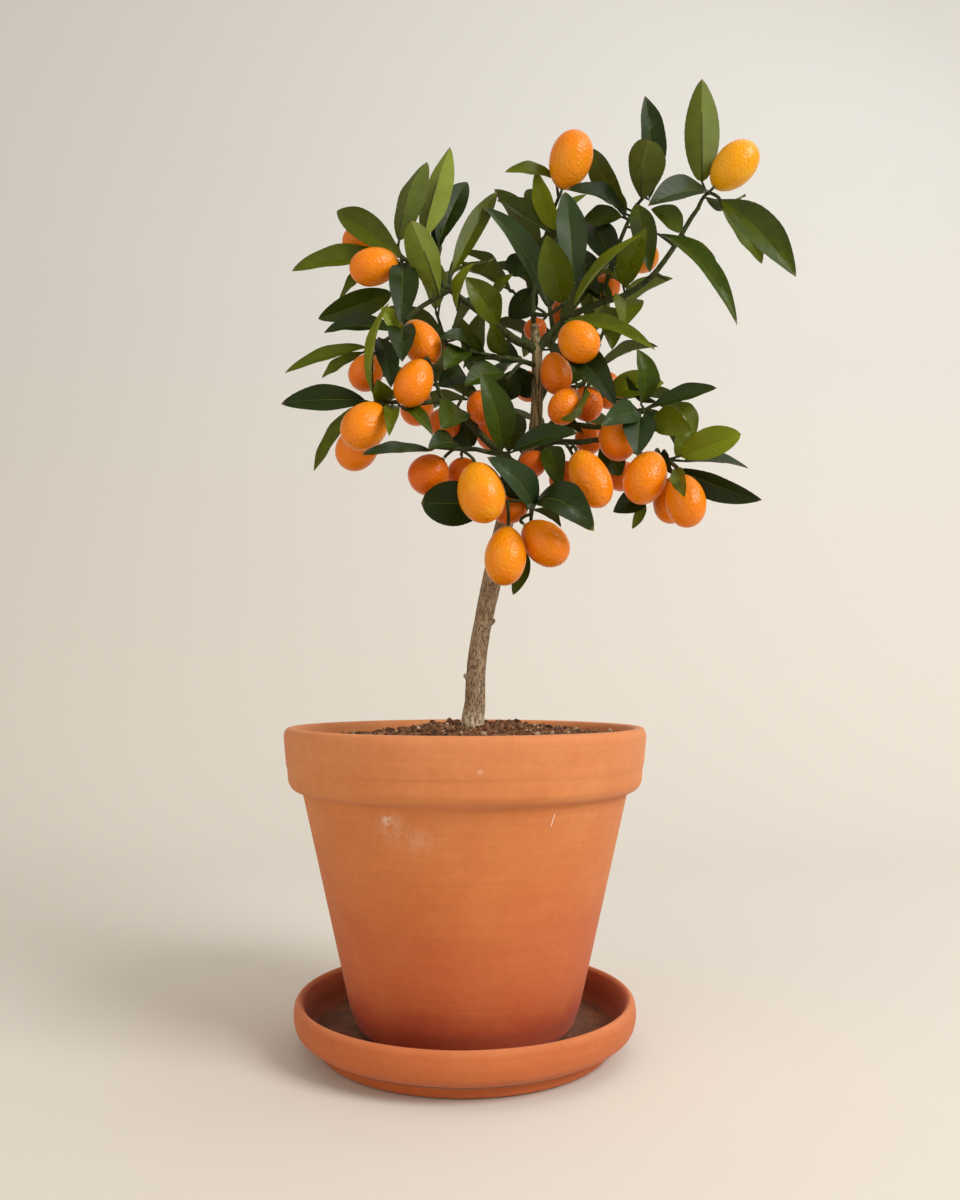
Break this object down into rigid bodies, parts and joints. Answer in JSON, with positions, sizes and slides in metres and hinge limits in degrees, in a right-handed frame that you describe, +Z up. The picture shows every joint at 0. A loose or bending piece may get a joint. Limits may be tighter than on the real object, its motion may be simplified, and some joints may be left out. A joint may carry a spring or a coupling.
{
  "type": "potted kumquat tree",
  "caption": "Dwarf kumquat tree with orange oval fruit and pointed leaves, grown on one bare stem in a tapered terracotta pot on a round saucer.",
  "frame": {"origin": "on the ground under the middle of the saucer", "axes": "+Z up along the pot's axis, -Y towards the front, from which the crown was measured, +X to the right as seen from the front"},
  "size_m": [0.3086, 0.2306, 0.6015],
  "materials": {
    "saucer_clay": "matte fired clay, darker and dirty inside",
    "pot_clay": "matte fired clay, damp and dark at the foot",
    "peat": "rough dark crumbs",
    "bark": "rough grey-brown bark",
    "foliage": "glossy dark green leaves with paler undersides",
    "fruit_skin": "glossy orange peel with fine dimples"
  },
  "bodies": {
    "root": {"saucer": "saucer_clay", "pot": "pot_clay", "soil": "peat", "trunk": "bark", "branch_upper_left": "foliage", "kumquat_upper_left_1": "fruit_skin", "kumquat_upper_left_2": "fruit_skin", "branch_left": "foliage", "kumquat_left_1": "fruit_skin", "kumquat_left_2": "fruit_skin", "branch_lower_left": "foliage", "kumquat_lower_left_1": "fruit_skin", "kumquat_lower_left_2": "fruit_skin", "kumquat_lower_left_3": "fruit_skin", "kumquat_lower_left_4": "fruit_skin", "kumquat_lower_left_5": "fruit_skin", "kumquat_lower_left_6": "fruit_skin", "branch_centre_left": "foliage", "branch_front_left": "foliage", "kumquat_front_left_1": "fruit_skin", "kumquat_front_left_2": "fruit_skin", "kumquat_front_left_3": "fruit_skin", "branch_front_low": "foliage", "kumquat_front_low_1": "fruit_skin", "kumquat_front_low_2": "fruit_skin", "kumquat_front_low_3": "fruit_skin", "kumquat_front_low_4": "fruit_skin", "branch_top": "foliage", "kumquat_top_1": "fruit_skin", "kumquat_top_2": "fruit_skin", "branch_right": "foliage", "kumquat_right_1": "fruit_skin", "kumquat_right_2": "fruit_skin", "kumquat_right_3": "fruit_skin", "kumquat_right_4": "fruit_skin", "branch_top_right": "foliage", "kumquat_top_right_1": "fruit_skin", "branch_inner_right": "foliage", "kumquat_inner_right_1": "fruit_skin", "kumquat_inner_right_2": "fruit_skin", "branch_lower_right": "foliage", "kumquat_lower_right_1": "fruit_skin", "kumquat_lower_right_2": "fruit_skin", "branch_low_right": "foliage", "kumquat_low_right_1": "fruit_skin", "kumquat_low_right_2": "fruit_skin", "kumquat_low_right_3": "fruit_skin", "kumquat_low_right_4": "fruit_skin", "kumquat_low_right_5": "fruit_skin", "kumquat_low_right_6": "fruit_skin", "branch_back_left": "foliage", "kumquat_back_left_1": "fruit_skin", "kumquat_back_left_2": "fruit_skin", "branch_back_middle": "foliage", "kumquat_back_middle_1": "fruit_skin", "kumquat_back_middle_2": "fruit_skin", "branch_back_right": "foliage", "kumquat_back_right_1": "fruit_skin"}
  },
  "joints": []
}
